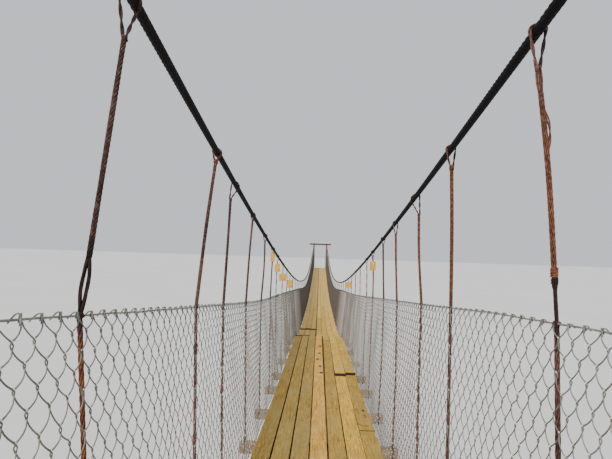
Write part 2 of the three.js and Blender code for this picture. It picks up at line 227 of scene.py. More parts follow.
class Pile:
    """The closed bodies of one piece, with a tone for its material at each point."""

    def __init__(self):
        self.points, self.faces, self.tones = [], [], []
        self.count = 0

    def add(self, rings, tone=0.5, mirrored=False):
        """Closed bodies from equal rings of points: one body, or a batch."""
        rings = np.asarray(rings, dtype=float)
        if rings.ndim == 3:
            rings = rings[None]
        index = self.count + np.arange(rings[..., 0].size).reshape(rings.shape[:3])
        after = np.roll(index, -1, axis=2)
        walls = np.stack([index[:, :-1], after[:, :-1], after[:, 1:], index[:, 1:]], axis=-1)
        walls = walls.reshape(-1, 4)
        caps = np.concatenate([index[:, 0, ::-1], index[:, -1]])
        if mirrored:
            walls, caps = np.roll(walls[:, ::-1], 1, axis=1), caps[:, ::-1]
        self.faces += [walls, caps]
        self.points.append(rings.reshape(-1, 3))
        tone = np.asarray(tone, dtype=float)[..., None]
        self.tones.append(np.broadcast_to(tone, index.shape).ravel())
        self.count += index.size

    def make(self, name, material, slot, node=None, smooth=True):
        points = np.concatenate(self.points) - ORIGIN_Y * ALONG
        faces = [face for batch in self.faces for face in batch.tolist()]
        mesh = bpy.data.meshes.new(name)
        mesh.from_pydata(points.tolist(), [], faces)
        tone = mesh.attributes.new("tone", "FLOAT", "POINT")
        tone.data.foreach_set("value", np.concatenate(self.tones))
        add_piece(name, mesh, material, node, smooth)


def unit(vectors):
    return vectors / np.maximum(np.linalg.norm(vectors, axis=-1, keepdims=True), 1e-12)


def circle(sides):
    return np.arange(sides) * 2 * math.pi / sides


def run_along(path):
    """How far along the path each of its points is."""
    return np.concatenate([[0], np.cumsum(np.linalg.norm(np.diff(path, axis=0), axis=1))])


def ring_frames(paths, up):
    """Two directions square to each path, carried along it without twisting."""
    steps = np.diff(paths, axis=-2)
    inner = steps[..., 1:, :] + steps[..., :-1, :]
    tangents = unit(np.concatenate([steps[..., :1, :], inner, steps[..., -1:, :]], axis=-2))
    first = np.empty_like(tangents)
    for i in range(tangents.shape[-2]):
        t = tangents[..., i, :]
        up = unit(up - np.sum(up * t, axis=-1, keepdims=True) * t)
        first[..., i, :] = up
    return first, np.cross(tangents, first)


def tubes(pile, paths, radius, sides=4, up=ALONG, tone=0.5):
    """Closed round tubes along one path, or along a batch of equal ones."""
    paths = np.asarray(paths, dtype=float)
    first, second = (way[..., None, :] for way in ring_frames(paths, up))
    angles = circle(sides)[:, None]
    radius = np.broadcast_to(radius, paths.shape[:-1])[..., None, None]
    around = np.cos(angles) * first + np.sin(angles) * second
    pile.add(paths[..., None, :] + radius * around, tone)


def strands(pile, path, count, radius, spread, lay, sides, tone):
    """Wires twisted round a path, with their sizes in real millimetres."""
    first, second = ring_frames(path, ALONG)
    run = run_along(path)
    spread = np.broadcast_to(real(spread), len(path))[:, None]
    for k in range(count):
        angle = (2 * math.pi * (k / count + run / real(lay)))[:, None]
        wire = path + spread * (np.cos(angle) * first + np.sin(angle) * second)
        tubes(pile, wire, real(radius), sides, tone=tone)


def smooth_path(points, count):
    """A rounded path through given points, as evenly spaced points."""
    points = np.asarray(points, dtype=float)
    padded = np.vstack([2 * points[0] - points[1], points, 2 * points[-1] - points[-2]])
    t = np.linspace(0, 1, 12, endpoint=False)[:, None]
    fine = [0.5 * (2 * p1 + (p2 - p0) * t + (2 * p0 - 5 * p1 + 4 * p2 - p3) * t ** 2
                   + (3 * p1 - p0 - 3 * p2 + p3) * t ** 3)
            for p0, p1, p2, p3 in zip(padded, padded[1:], padded[2:], padded[3:])]
    fine = np.vstack(fine + [points[-1:]])
    run = run_along(fine)
    places = np.linspace(0, run[-1], count)
    return np.stack([np.interp(places, run, fine[:, k]) for k in range(3)], axis=1)


# Materials.
class Look:
    """A material made of nodes by short calls."""

    def __init__(self, name, roughness=0.7, metallic=0.0, shine=0.5):
        self.material = bpy.data.materials.new(name)
        self.material.use_nodes = True
        self.tree = self.material.node_tree
        self.shader = self.tree.nodes["Principled BSDF"]
        self.give(self.shader, {
            "Roughness": roughness, "Metallic": metallic, "Specular IOR Level": shine})
        self.place = self.node("TexCoord", output="Object")

    def give(self, node, sockets):
        """Sets a node's sockets to values, or links them to other nodes' outputs."""
        for key, value in sockets.items():
            socket = node.inputs[key]
            if isinstance(value, bpy.types.NodeSocket):
                self.tree.links.new(value, socket)
            elif value is not None:
                socket.default_value = (*value, 1) if socket.type == "RGBA" else value

    def node(self, kind, sockets=None, output=0, **settings):
        """Makes a node and gives one of its outputs."""
        made = self.tree.nodes.new(f"ShaderNode{kind}")
        for key, value in settings.items():
            setattr(made, key, value)
        self.give(made, sockets or {})
        return made.outputs[output]

    def stretched(self, scale, shift=None):
        return self.node("Mapping", {"Vector": self.place, "Scale": scale, "Location": shift})

    def noise(self, scale, detail=4.0, rough=0.55, distortion=0.0, shift=None):
        """Noise with one scale, or with one for each axis."""
        return self.node("TexNoise", {
            "Vector": self.stretched(np.broadcast_to(scale, 3), shift), "Scale": 1.0,
            "Detail": detail, "Roughness": rough, "Distortion": distortion}, "Fac")

    def tone(self):
        return self.node("Attribute", output="Fac", attribute_name="tone")

    def ramp(self, factor, stops):
        """Colours for a factor, from stops: place, red, green, blue."""
        ramped = self.node("ValToRGB", {"Fac": factor}, "Color")
        elements = ramped.node.color_ramp.elements
        while len(elements) < len(stops):
            elements.new(0.5)
        for element, (place, *color) in zip(elements, stops):
            element.position = place
            element.color = (*color, 1)
        return ramped

    def grey_ramp(self, factor, low, high, from_value=0.0, to_value=1.0):
        return self.node("MapRange", {
            "Value": factor, "From Min": low, "From Max": high,
            "To Min": from_value, "To Max": to_value}, "Result")

    def mix(self, factor, first, second, blend="MIX"):
        return self.node("Mix", {0: factor, 6: first, 7: second}, 2,
                         data_type="RGBA", blend_type=blend)

    def stain(self, color, field, span, tint):
        """The tint over the color, as far as the field is in the span."""
        return self.mix(self.grey_ramp(field, *span), color, tint)

    def math(self, operation, first, second=0.0):
        return self.node("Math", {0: first, 1: second}, operation=operation)

    def beyond(self, start, stop, most):
        """Rises from zero to the most between two places along the bridge."""
        y = self.node("SeparateXYZ", {0: self.place}, 1)
        return self.grey_ramp(y, real(start) - ORIGIN_Y, real(stop) - ORIGIN_Y, 0.0, most)

    def steep_faces(self, flat, steep):
        """One on faces that stand up, zero on faces that lie level."""
        normal = self.node("NewGeometry", output="True Normal")
        z = self.node("SeparateXYZ", {0: normal}, 2)
        return self.grey_ramp(self.math("ABSOLUTE", z), flat, steep, 1.0, 0.0)

    def bump(self, height, strength, distance, after=None):
        """A raised surface, its height in real millimetres."""
        return self.node("Bump", {
            "Height": height, "Strength": strength, "Distance": real(distance),
            "Normal": after}, "Normal")

    def finish(self, color, roughness=None, normal=None):
        self.give(self.shader, {"Base Color": color, "Roughness": roughness, "Normal": normal})
        return self.material


def board_look():
    look = Look("deck_boards", roughness=0.8, shine=0.25)
    tone = look.tone()
    shift = look.node("CombineXYZ", {
        0: look.math("MULTIPLY", tone, 37.0), 1: look.math("MULTIPLY", tone, 91.0)})
    grain = look.noise((150, 5, 150), 6.0, 0.65, 0.6, shift)
    fine = look.noise((520, 14, 520), 4.0, 0.7, shift=shift)
    patches = look.noise((9, 2.2, 9), 3.0, 0.5, shift=shift)
    weather = look.noise((14, 9, 14), 5.0, 0.65)
    color = look.ramp(grain, [(0.3, 0.22, 0.122, 0.026), (0.45, 0.43, 0.262, 0.058),
                              (0.6, 0.62, 0.405, 0.1), (0.8, 0.74, 0.53, 0.17)])
    color = look.stain(color, patches, (0.44, 0.66, 0.0, 0.55), (0.55, 0.41, 0.175))
    color = look.stain(color, fine, (0.3, 0.52, 0.8, 0.0), (0.17, 0.098, 0.03))
    color = look.stain(color, weather, (0.5, 0.72, 0.0, 0.5), (0.27, 0.185, 0.07))
    # Each board's tone scales its colour; the near left rows' low tones are partly painted shade.
    by_board = look.ramp(tone, [
        (0.0, 0.6, 0.58, 0.42), (0.25, 0.76, 0.77, 0.62), (0.5, 0.93, 0.9, 0.62),
        (0.75, 1.5, 1.42, 0.88), (0.9, 1.66, 1.34, 0.84), (1.0, 1.3, 1.2, 0.9)])
    color = look.mix(1.0, color, by_board, "MULTIPLY")
    knots = look.node("TexVoronoi", {
        "Scale": 1.0, "Vector": look.stretched((26, 5.5, 26), shift)}, "Distance")
    ring = look.grey_ramp(knots, 0.02, 0.13, 1.0, 0.0)
    color = look.mix(look.math("MULTIPLY", ring, 0.75), color, (0.12, 0.055, 0.025))
    color = look.mix(look.beyond(13000, 30000, 0.4), color, (0.6, 0.44, 0.19))
    # Painted shade: faces that stand up, the boards' sides in the gaps and their raised ends, go
    # near black-brown.
    color = look.mix(look.steep_faces(0.2, 0.8), color, (0.045, 0.027, 0.014))
    rough = look.grey_ramp(fine, 0.3, 0.7, 0.68, 0.9)
    return look.finish(color, rough, look.bump(fine, 0.4, 1.5, look.bump(grain, 0.6, 3.0)))


def rust_look():
    look = Look("rusty_wire", roughness=0.78, metallic=0.15, shine=0.25)
    large = look.noise(7.0)
    small = look.noise(160.0, 5.0, 0.7)
    tone = look.tone()
    color = look.ramp(large, [(0.3, 0.03, 0.015, 0.015), (0.48, 0.082, 0.036, 0.033),
                              (0.62, 0.15, 0.068, 0.058), (0.8, 0.28, 0.14, 0.115)])
    color = look.stain(color, small, (0.45, 0.68, 0.0, 0.75), (0.29, 0.17, 0.12))
    bright = look.stain((0.12, 0.036, 0.018), small, (0.4, 0.66), (0.42, 0.15, 0.052))
    # High tones: brighter orange rust; on the first left hanger below the rail, partly painted
    # sunlight.
    color = look.stain(color, tone, (0.5, 1.0), bright)
    # Low tones go near black: painted shade on the first left hanger above the rail, elsewhere dark
    # wire.
    color = look.stain(color, tone, (0.0, 0.5, 0.9, 0.0), (0.01, 0.008, 0.008))
    return look.finish(color, None, look.bump(small, 0.5, 0.8))


def mesh_wire_look():
    look = Look("woven_wire", roughness=0.5, metallic=0.35, shine=0.4)
    zinc = look.noise(60.0)
    rust_places = look.noise(1.4, 5.0, 0.6)
    tone = look.tone()
    color = look.ramp(zinc, [(0.3, 0.125, 0.142, 0.12), (0.55, 0.235, 0.245, 0.212),
                             (0.78, 0.43, 0.41, 0.37)])
    rusty = look.math("MULTIPLY", look.grey_ramp(rust_places, 0.42, 0.6),
                      look.grey_ramp(tone, 0.0, 0.8))
    color = look.mix(rusty, color, (0.15, 0.105, 0.07))
    # Painted highlight: knot points, at tone one, are lightened to a pale pinkish glint.
    color = look.stain(color, tone, (0.8, 1.0), (0.95, 0.84, 0.77))
    color = look.mix(look.beyond(9000, 18000, 0.9), color, (0.036, 0.03, 0.015))
    rough = look.grey_ramp(zinc, 0.3, 0.7, 0.45, 0.7)
    return look.finish(color, rough, look.bump(zinc, 0.3, 0.5))


def noise_look(name, noises, stops, stains=(), rough=None, bumps=(), **constants):
    """A look made of noises: the stops colour the first one, and stains, rough and bumps
    begin with the number of theirs."""
    look = Look(name, **constants)
    fields = [look.noise(*noise) for noise in noises]
    color = look.ramp(fields[0], stops)
    for number, span, tint in stains:
        color = look.stain(color, fields[number], span, tint)
    normal = None
    for number, strength, distance in bumps:
        normal = look.bump(fields[number], strength, distance, normal)
    if rough:
        rough = look.grey_ramp(fields[rough[0]], *rough[1:])
    return look.finish(color, rough, normal)


BOARD = board_look()
KNOT = noise_look(
    "knot_wood", [((160, 110, 160), 4.0, 0.6)],
    [(0.3, 0.03, 0.014, 0.007), (0.55, 0.085, 0.04, 0.018), (0.8, 0.19, 0.1, 0.045)],
    bumps=[(0, 0.5, 1.0)], roughness=0.7, shine=0.3)
BEAM = noise_look(
    "beam_timber", [((4, 160, 160), 6.0, 0.65, 0.5), (6.0, 3.0)],
    [(0.3, 0.19, 0.115, 0.07), (0.5, 0.4, 0.275, 0.185), (0.75, 0.62, 0.465, 0.345)],
    [(1, (0.45, 0.7, 0.0, 0.6), (0.21, 0.145, 0.095))],
    bumps=[(0, 0.6, 4.0)], roughness=0.85, shine=0.3)
PALE_WOOD = noise_look(
    "pale_blocks", [((260, 260, 22), 5.0, 0.6, 0.4), (18.0, 3.0)],
    [(0.3, 0.5, 0.255, 0.038), (0.55, 0.8, 0.47, 0.075), (0.8, 0.92, 0.64, 0.16)],
    [(1, (0.5, 0.75, 0.0, 0.5), (0.24, 0.12, 0.045))],
    bumps=[(0, 0.5, 2.0)], roughness=0.85, shine=0.12)
# Near-black rope: partly its dark steel, partly painted shade of its unlit underside.
CABLE = noise_look(
    "wire_rope", [(9.0,), ((420, 90, 420), 2.0, 0.5)],
    [(0.35, 0.004, 0.0042, 0.005), (0.6, 0.008, 0.0074, 0.008), (0.82, 0.026, 0.016, 0.011)],
    [(1, (0.5, 0.75, 0.0, 0.5), (0.022, 0.021, 0.022))], rough=(0, 0.3, 0.75, 0.6, 0.85),
    bumps=[(1, 0.6, 1.2)], roughness=0.75, metallic=0.1, shine=0.12)
RUST = rust_look()
MESH_WIRE = mesh_wire_look()
PORTAL = noise_look(
    "portal_paint", [(11.0, 6.0, 0.65), ((90, 90, 5), 4.0, 0.6)],
    [(0.3, 0.095, 0.04, 0.028), (0.5, 0.17, 0.068, 0.045), (0.72, 0.26, 0.115, 0.07)],
    [(1, (0.5, 0.72, 0.0, 0.6), (0.34, 0.15, 0.07))], rough=(0, 0.3, 0.7, 0.5, 0.85),
    bumps=[(0, 0.4, 1.5)], roughness=0.62, metallic=0.1)
CONCRETE = noise_look(
    "cast_concrete", [(3.0, 5.0, 0.6), (140.0, 3.0, 0.6), ((14, 14, 1.2), 4.0, 0.55)],
    [(0.3, 0.25, 0.235, 0.205), (0.55, 0.37, 0.35, 0.315), (0.8, 0.47, 0.455, 0.42)],
    [(2, (0.5, 0.75, 0.0, 0.5), (0.19, 0.175, 0.145)),
     (1, (0.3, 0.5, 0.4, 0.0), (0.15, 0.14, 0.125))],
    bumps=[(1, 0.4, 2.0), (0, 0.3, 8.0)], roughness=0.9)


# Deck: seven rows of long boards, nailed to crossbeams. The gaps beside the rows run
# from the left, in real millimetres; one widens along the deck, and all change at its step.
BOARD_ROWS = 7
BOARD_GAPS = (0, 12, 12, 9, 12, 7, 3, 0)
FAR_BOARD_GAPS = (0, 5, 5, 30, 5, 5, 4, 0)
WIDENING_GAP = 4
WIDENING = ((4800, 12), (7000, 14), (9500, 28), (12600, 30))
DECK_STEP = real(12900)
BOARD_FOOT_GAP = real(0.6)
BOARD_EASE = real(3)
ROW_PITCH = DECK_WIDTH / BOARD_ROWS
BOARD_STEP = real(300)
FINE_BOARD_STEP = real(60)
FINE_BOARD_END = real(9000)
BUTT_GAP = real(10)
RAISED_LENGTH = real(700)
# Where each row's boards meet end to end, as far as the photo shows it, and how much
# such an end stands up, in real millimetres.
SEEN_BUTTS = (
    ((3565, 0), (12500, 20), (15450, 36)),
    ((2330, 0), (13000, 18), (15500, 40)),
    ((4330, 0), (15480, 34)),
    ((3565, 0), (14300, 0)),
    ((2330, 0), (11860, 0)),
    ((4330, 0), (8120, 36), (15520, 0)),
    ((1150, 0), (5700, 5), (8220, 34), (13080, 0)),
)
# Farther on, the number of crossbeams that a board may span.
BOARD_SPANS = (4, 5, 5)
# Tones of the rows from the left, and splinters off the right edge: place, length, depth.
# The near left rows' low tones are partly painted shade from the side mesh, partly the boards'
# colour.
NEAR_TONES = (0.10, 0.27, 0.34, 0.90, 0.56, 0.72, 0.50)
FAR_TONES = (0.35, 0.42, 0.45, 0.70, 0.66, 0.76, 0.72)
NEAR_TONES_END = real(8000)
SPLINTERS = ((4500, 260, 9), (5150, 200, 12), (5600, 110, 16), (5900, 80, 20), (6350, 130, 18),
             (6700, 110, 22), (7150, 180, 13), (7700, 200, 12), (8500, 240, 10))
# Dark spots that the photo shows, one board's whorls of knots first: place along the
# bridge and across it, then reach across and along.
SPOTS = ((8300, 34, 26, 52), (8800, 18, 24, 50), (9400, -24, 26, 56), (10000, 8, 28, 62),
         (10800, 24, 28, 66), (6400, 484, 15, 26), (6230, 480, 10, 14), (5850, 452, 48, 9),
         (5900, 395, 30, 6), (10500, -300, 28, 26), (10500, -345, 20, 20), (10480, -250, 18, 18))
OTHER_KNOTS = 110
NAIL_OFFSET = 0.3
NAIL_RADIUS = real(4.5)
DISC_DEPTH = real(4)


def row_x(row):
    """The middle of a row of boards; a share of a row may be added."""
    return (row - (BOARD_ROWS - 1) / 2) * ROW_PITCH


def gap_beside(line, y):
    """Half the gap at a line between two rows of boards."""
    near = real(BOARD_GAPS[line])
    if line == WIDENING_GAP:
        near = np.interp(y, *real(WIDENING).T)
    return np.where(y < DECK_STEP, near, real(FAR_BOARD_GAPS[line])) / 2


def butt_places(row):
    """Where a row's boards meet, each with the height that the farther one stands up."""
    butts = list(real(SEEN_BUTTS[row]))
    at = int(np.searchsorted(HANGERS, butts[-1][0]))
    while at < HANGER_COUNT - max(BOARD_SPANS):
        at += int(rng.choice(BOARD_SPANS))
        butts.append((HANGERS[at] + stray(6), 0.0))
    return butts


def board(pile, row, y0, y1, tone, raised):
    """One board from y0 to y1: eased edges, a slight cup, bow and lift."""
    step = FINE_BOARD_STEP if y0 < FINE_BOARD_END else BOARD_STEP
    steps = max(int(round((y1 - y0) / step)), 2)
    share = np.linspace(0, 1, steps + 1)
    y = np.linspace(y0, y1, steps + 1)
    lift = stray(1.2)
    drift = np.interp(share, [0, 1], stray(1.0, 2))[:, None]
    foot = (ROW_PITCH - BOARD_FOOT_GAP) / 2 + 0 * y
    left = -ROW_PITCH / 2 + gap_beside(row, y)
    right = ROW_PITCH / 2 - gap_beside(row + 1, y)
    ease = BOARD_EASE
    across = np.stack([-foot, left, left + ease, 0 * y, right - ease, right, foot], axis=1)
    height = np.array([0, -ease, 0, stray(0.8), 0, -ease, 0])
    xs = row_x(row) + drift * np.array([0, 1, 1, 1, 1, 1, 0]) + across
    wobble = stray(0.6, (steps + 1, 2))
    xs[:, 1:3] += wobble[:, :1]
    xs[:, 4:6] += wobble[:, 1:]
    if row == BOARD_ROWS - 1:
        for place, length, depth in real(SPLINTERS):
            chip = depth * np.exp(-((y - place) / length * 2) ** 2)
            xs[:, 5:] -= chip[:, None] + np.abs(wobble[:, 1:])
            xs[:, 4] -= chip
    under = beam_top(y)
    top = under + BOARD_THICKNESS + lift + raised * np.clip(1 - (y - y0) / RAISED_LENGTH, 0, 1) ** 2
    zs = top[:, None] + height
    zs[:, [0, -1]] = under[:, None]
    ys = np.broadcast_to(y[:, None], xs.shape)
    pile.add(np.stack([xs, ys, zs], axis=-1), tone, mirrored=True)


def deck_pieces():
    deck_start, deck_end = -DECK_REST, SPAN + DECK_REST
    piles = [Pile() for _ in range(BAYS)]
    for row in range(BOARD_ROWS):
        cuts = [(deck_start, 0.0), *butt_places(row), (deck_end, 0.0)]
        for (y0, raised), (y1, _) in zip(cuts, cuts[1:]):
            bay = np.clip(np.searchsorted(BAY_ENDS, (y0 + y1) / 2) - 1, 0, BAYS - 1)
            start = y0 + (BUTT_GAP / 2 if y0 > deck_start else 0)
            stop = y1 - (BUTT_GAP / 2 if y1 < deck_end else 0)
            tones, spread = (FAR_TONES, 0.08) if y0 > NEAR_TONES_END else (NEAR_TONES, 0.03)
            tone = np.clip(tones[row] + rng.normal(0, spread), 0, 1)
            board(piles[bay], row, start, stop, tone, raised)
    for bay, pile in enumerate(piles, 1):
        pile.make(f"boards_{bay}", BOARD, "deck_wood", f"deck_section_{bay}", smooth=False)


def beam_pieces():
    """Rough crossbeams with waney faces, one at each hanger."""
    xs = np.linspace(-BEAM_LENGTH / 2, BEAM_LENGTH / 2, 13)
    half, ease, depth = BEAM_WIDTH / 2, real(5), BEAM_DEPTH
    ys = np.array([-half, -half + ease, half - ease, half, half, half - ease, -half + ease, -half])
    zs = np.array([-ease, 0, 0, -ease, ease - depth, -depth, -depth, ease - depth])
    reach = real(50)
    for bay, places in enumerate(HANGERS.reshape(BAYS, PER_BAY), 1):
        pile = Pile()
        for y in places:
            slope = (beam_top(y + reach) - beam_top(y - reach)) / (2 * reach)
            rough_y = stray(1.5, (len(xs), len(ys)))
            rough_z = stray(1.5, rough_y.shape)
            rough_z[:, :4] = 0
            py = ys + rough_y
            pz = zs + rough_z
            px = np.broadcast_to(xs[:, None], py.shape)
            rings = np.stack([px, y + py - pz * slope, beam_top(y) + pz + py * slope], axis=-1)
            pile.add(rings[:, ::-1], rng.random())
        pile.make(f"beams_{bay}", BEAM, "deck_wood", f"deck_section_{bay}", smooth=False)


def disc(pile, x, y, reach_x, reach_y, proud=real(2.2), sides=14):
    """A low oval disc on the boards, such as a nail head or a knot."""
    ring_x = x + reach_x * np.cos(circle(sides))
    ring_y = y + reach_y * np.sin(circle(sides))
    top = beam_top(ring_y) + BOARD_THICKNESS + proud
    pile.add([np.stack([ring_x, ring_y, z], axis=1) for z in (top - DISC_DEPTH, top)], 0.3)


def nail_pieces():
    """Two nail heads a board at each crossbeam."""
    for bay, places in enumerate(HANGERS.reshape(BAYS, PER_BAY), 1):
        pile = Pile()
        for y in places:
            for row in range(BOARD_ROWS):
                for side in (-1, 1):
                    x = row_x(row + side * NAIL_OFFSET) + stray(5)
                    disc(pile, x, y + stray(12), NAIL_RADIUS, NAIL_RADIUS, sides=6)
        pile.make(f"nails_{bay}", RUST, "hanger_wire")


def knot_pieces():
    """The dark spots that the photo shows, and random small knots along the deck."""
    pile = Pile()
    for place, across, *reach in real(SPOTS):
        disc(pile, across, place, *reach)
    for _ in range(OTHER_KNOTS):
        x = row_x(int(rng.integers(BOARD_ROWS)) + rng.uniform(-0.3, 0.3))
        reach = real(rng.uniform(6, 15))
        y = rng.uniform(real(900), SPAN - real(900))
        disc(pile, x, y, reach, reach * 0.8, proud=real(2.0), sides=10)
    pile.make("deck_knots", KNOT, "deck_wood")


# Main cables: six strands laid together, over the crossbars and down to the anchors. The
# lay is finer where the photo shows it close by.
LAY = real(170)
COARSE_LAY = 2 * LAY
STRANDS = 6
CABLE_GROOVE = 0.11
FINE_CABLE_START = -real(200)
FINE_CABLE_END = real(6500)
CABLE_BEND = real(150)


def cable_path():
    """Points along the right-hand cable, close together where it is seen close by."""
    far_step = LAY / 3
    y = np.concatenate([
        np.arange(-ANCHOR_DISTANCE, -CABLE_BEND, far_step),
        np.arange(-CABLE_BEND, FINE_CABLE_END, LAY / 16),
        np.arange(FINE_CABLE_END, SPAN + CABLE_BEND, far_step),
        np.arange(SPAN + CABLE_BEND, SPAN + ANCHOR_DISTANCE, far_step),
        [SPAN + ANCHOR_DISTANCE]])
    past_bend = np.maximum(-y, y - SPAN) - CABLE_BEND
    top = FLOOR_TO_DECK_END + CABLE_HEIGHT
    drop = (top - ANCHOR_HEIGHT + ANCHOR_EYE_DROP) / (ANCHOR_DISTANCE - CABLE_BEND)
    z = np.where(past_bend > 0, top - drop * past_bend, level(cable_curve, y))
    x = np.where((y > 0) & (y < SPAN), level(cable_x_curve, y), CABLE_X_AT_PORTAL)
    return np.stack([x, y, z], axis=1)


def rope(pile, path, points_a_strand, lay):
    """A twisted rope: its section has one bulge for each strand."""
    first, second = (way[:, None] for way in ring_frames(path, ACROSS))
    sides = STRANDS * points_a_strand
    wave = np.cos(np.arange(sides) % points_a_strand / points_a_strand * 2 * math.pi)
    bulge = ROPE_RADIUS * (1 - CABLE_GROOVE * (1 - wave) / 2)
    angle = (circle(sides) + 2 * math.pi * run_along(path)[:, None] / lay)[..., None]
    pile.add(path[:, None] + bulge[:, None] * (np.cos(angle) * first + np.sin(angle) * second))


def cable_pieces():
    path = cable_path()
    fine = np.flatnonzero((path[:, 1] > FINE_CABLE_START) & (path[:, 1] < FINE_CABLE_END))
    first, last = fine[0], fine[-1]
    for name, side in SIDES:
        pile = Pile()
        mirrored = path * (side, 1, 1)
        rope(pile, mirrored[:first + 1], 2, COARSE_LAY)
        rope(pile, mirrored[first:last + 1], 4, LAY)
        rope(pile, mirrored[last:], 2, COARSE_LAY)
        pile.make(f"{name}_cable_rope", CABLE, "cable_steel", f"{name}_main_cable")


# A hanger, in real millimetres. Shares are of the way down to the rail.
# joint: how far below the cable's middle its two legs join
# legs, inner: places of the legs at the cable, and the inner one's half turns round it
# wires, spread, lay, radius: its wires, their distance from its middle, lay and radius
# parted, loose: a stretch in two halves, and a loose wire: start, end and how far it bows
# off, rust: how far the joint is off its line, outwards and along, and the legs' tones
# bends: how far the middles above and below the rail are off theirs; random if None
# thinner: the share from which it goes on thinner, and how thick then
# ties: turns of tying wire: how far below the joint, reach, turns, height and tone
# tones, low_tone: shares and tones down to the rail and the tone below it; rust, some painted light
Hanger = namedtuple(
    "Hanger", "joint legs inner wires spread lay radius parted off rust bends loose thinner "
    "ties tones low_tone",
    defaults=(0.6, 5, 6.6, 120, 3.4, None, (0, 0), (0.42, 0.42), None, None, (1, 1),
              (), ((0, 0.5), (1, 0.5)), 0.65))
BRIGHT_DOWN = ((0, 0.6), (0.2, 0.75), (1, 0.7))
# On the first left hanger, the 0.05 stretch above the rail is painted shade. Its dark upper tone
# and bright tone below the rail are partly painted shade and sunlight.
SEEN_HANGERS = {
    (-1, 1): Hanger(
        135, (-5, 70), 0.9, 6, 5.6, 90, 2.8, parted=(0.80, 0.985, 5.5), off=(-12, 0),
        rust=(0.14, 0.14), bends=((0, 0), (15, 0)), low_tone=1.0,
        tones=((0, 0.36), (0.66, 0.36), (0.71, 0.7), (0.74, 0.05), (1, 0.05))),
    (1, 1): Hanger(
        110, (-8, 8), 0.62, 7, 6.2, 150, 2.5, parted=(0.0, 0.105, 4.0), off=(-6, 0),
        rust=(0.12, 0.5), bends=((8, 0), (0, 0)), loose=(0.15, 0.35, 16),
        thinner=(0.86, 0.62), ties=((636, 10.5, 6, 28, 0.8), (662, 9.5, 4, 18, 0.0)),
        tones=((0, 0.55), (0.3, 0.72), (0.6, 0.8), (0.83, 0.75), (0.855, 0.05), (1, 0.05)),
        low_tone=0.55),
    (-1, 2): Hanger(
        52, (-14, 14), 0.6, 6, 6.9, 105, 3.2, bends=((-4, 0), (0, 0)),
        ties=((0, 10.5, 4, 20, 0.9), (8, 12, 2, 12, 0.9)),
        tones=((0, 0.7), (0.2, 0.52), (1, 0.5)), low_tone=0.6),
    (1, 2): Hanger(
        92, (-8, 8), 0.6, 8, 7.2, 230, 2.6, off=(4, 0), rust=(0.05, 0.6),
        bends=((3, 0), (0, 0)), ties=((2, 11.5, 5, 26, 0.9),),
        tones=((0, 0.85), (0.9, 0.8), (1, 0.5)), low_tone=0.5),
    (-1, 3): Hanger(95, (-30, 60), 0.9, off=(20, -20), rust=(0.1, 0.2),
                    tones=((0, 0.2), (0.25, 0.3), (0.5, 0.48), (1, 0.5))),
    (1, 3): Hanger(140, (90, 230), 0.9, off=(12, 80), rust=(0.0, 0.5), tones=BRIGHT_DOWN),
    (-1, 4): Hanger(34, (0, 0)),
    (1, 4): Hanger(95, (-10, 30), 0.8, off=(2, 0), rust=(0.05, 0.5), tones=BRIGHT_DOWN),
}
NEAR_HANGER = Hanger(56, (-6, 6))
FAR_HANGER = Hanger(60, (0, 0), 0.6, 2, 3.6, 260, 5.0)
FINE_HANGERS = 7
# Numbers of points above and below the rail, for the hangers before the number in front.
HANGER_POINTS = ((3, 150, 110), (FINE_HANGERS, 70, 50), (HANGER_COUNT, 12, 10))
# The core inside the wires as a share of their reach, and how the part below the rail
# differs: its lay and its core, as shares of those above.
CORE = 0.75
LOWER_LAY = 1.5
LOWER_CORE = 0.9
# Loops: where the outer leg leaves the cable, in half turns, and how far the arc slants.
LOOP_RADIUS = real(4.4)
FAR_LOOP_RADIUS = real(3.4)
OUTER_LEG = -0.55
LOOP_SLANT = 0.12
LOOP_TAIL = real(18)
# Wire wound round the cable itself, at one hanger.
CABLE_WRAP = (-1, 2)
CABLE_TILT = -0.13


def cable_loop(pile, place, side, joint, shape, fine):
    """A loop over the cable; its outer leg stands nearer, its inner leg farther on."""
    thick = LOOP_RADIUS if fine else FAR_LOOP_RADIUS
    grip = ROPE_RADIUS + thick * 0.9
    arc = np.linspace(OUTER_LEG * math.pi, shape.inner * math.pi, 13)
    legs = np.interp(arc, (arc[0], arc[-1]), real(shape.legs))
    over = [cable_point(place + leg, side)
            + grip * np.array([-side * math.sin(t), LOOP_SLANT * math.cos(t), math.cos(t)])
            for t, leg in zip(arc, legs)]
    apart = side * real(shape.spread) * ACROSS
    below = joint - LOOP_TAIL * UP
    path = smooth_path([below + apart, joint + apart, *over, joint - apart, below - apart],
                       90 if fine else 22)
    if fine:
        tone = np.interp(np.linspace(0, 1, len(path)), (0.36, 0.46), shape.rust)
        strands(pile, path, 2, radius=3.1, spread=2.9, lay=110, sides=6, tone=tone)
    else:
        tubes(pile, path, thick)


def wire_turns(pile, centre, reach, turns, height, radius, tone, axis=UP, per_turn=10, sides=5):
    """Turns of wire round a hanger, or round another wire that runs along the axis."""
    angle = np.linspace(0, 2 * math.pi * turns, turns * per_turn + 1)[:, None]
    along = np.linspace(-height / 2, height / 2, len(angle))[:, None]
    other, up = (ALONG, UP) if axis[2] == 1 else (UP, ALONG)
    path = centre + reach * (np.cos(angle) * ACROSS + np.sin(angle) * other) + along * axis
    tubes(pile, path, radius, sides, up, tone)


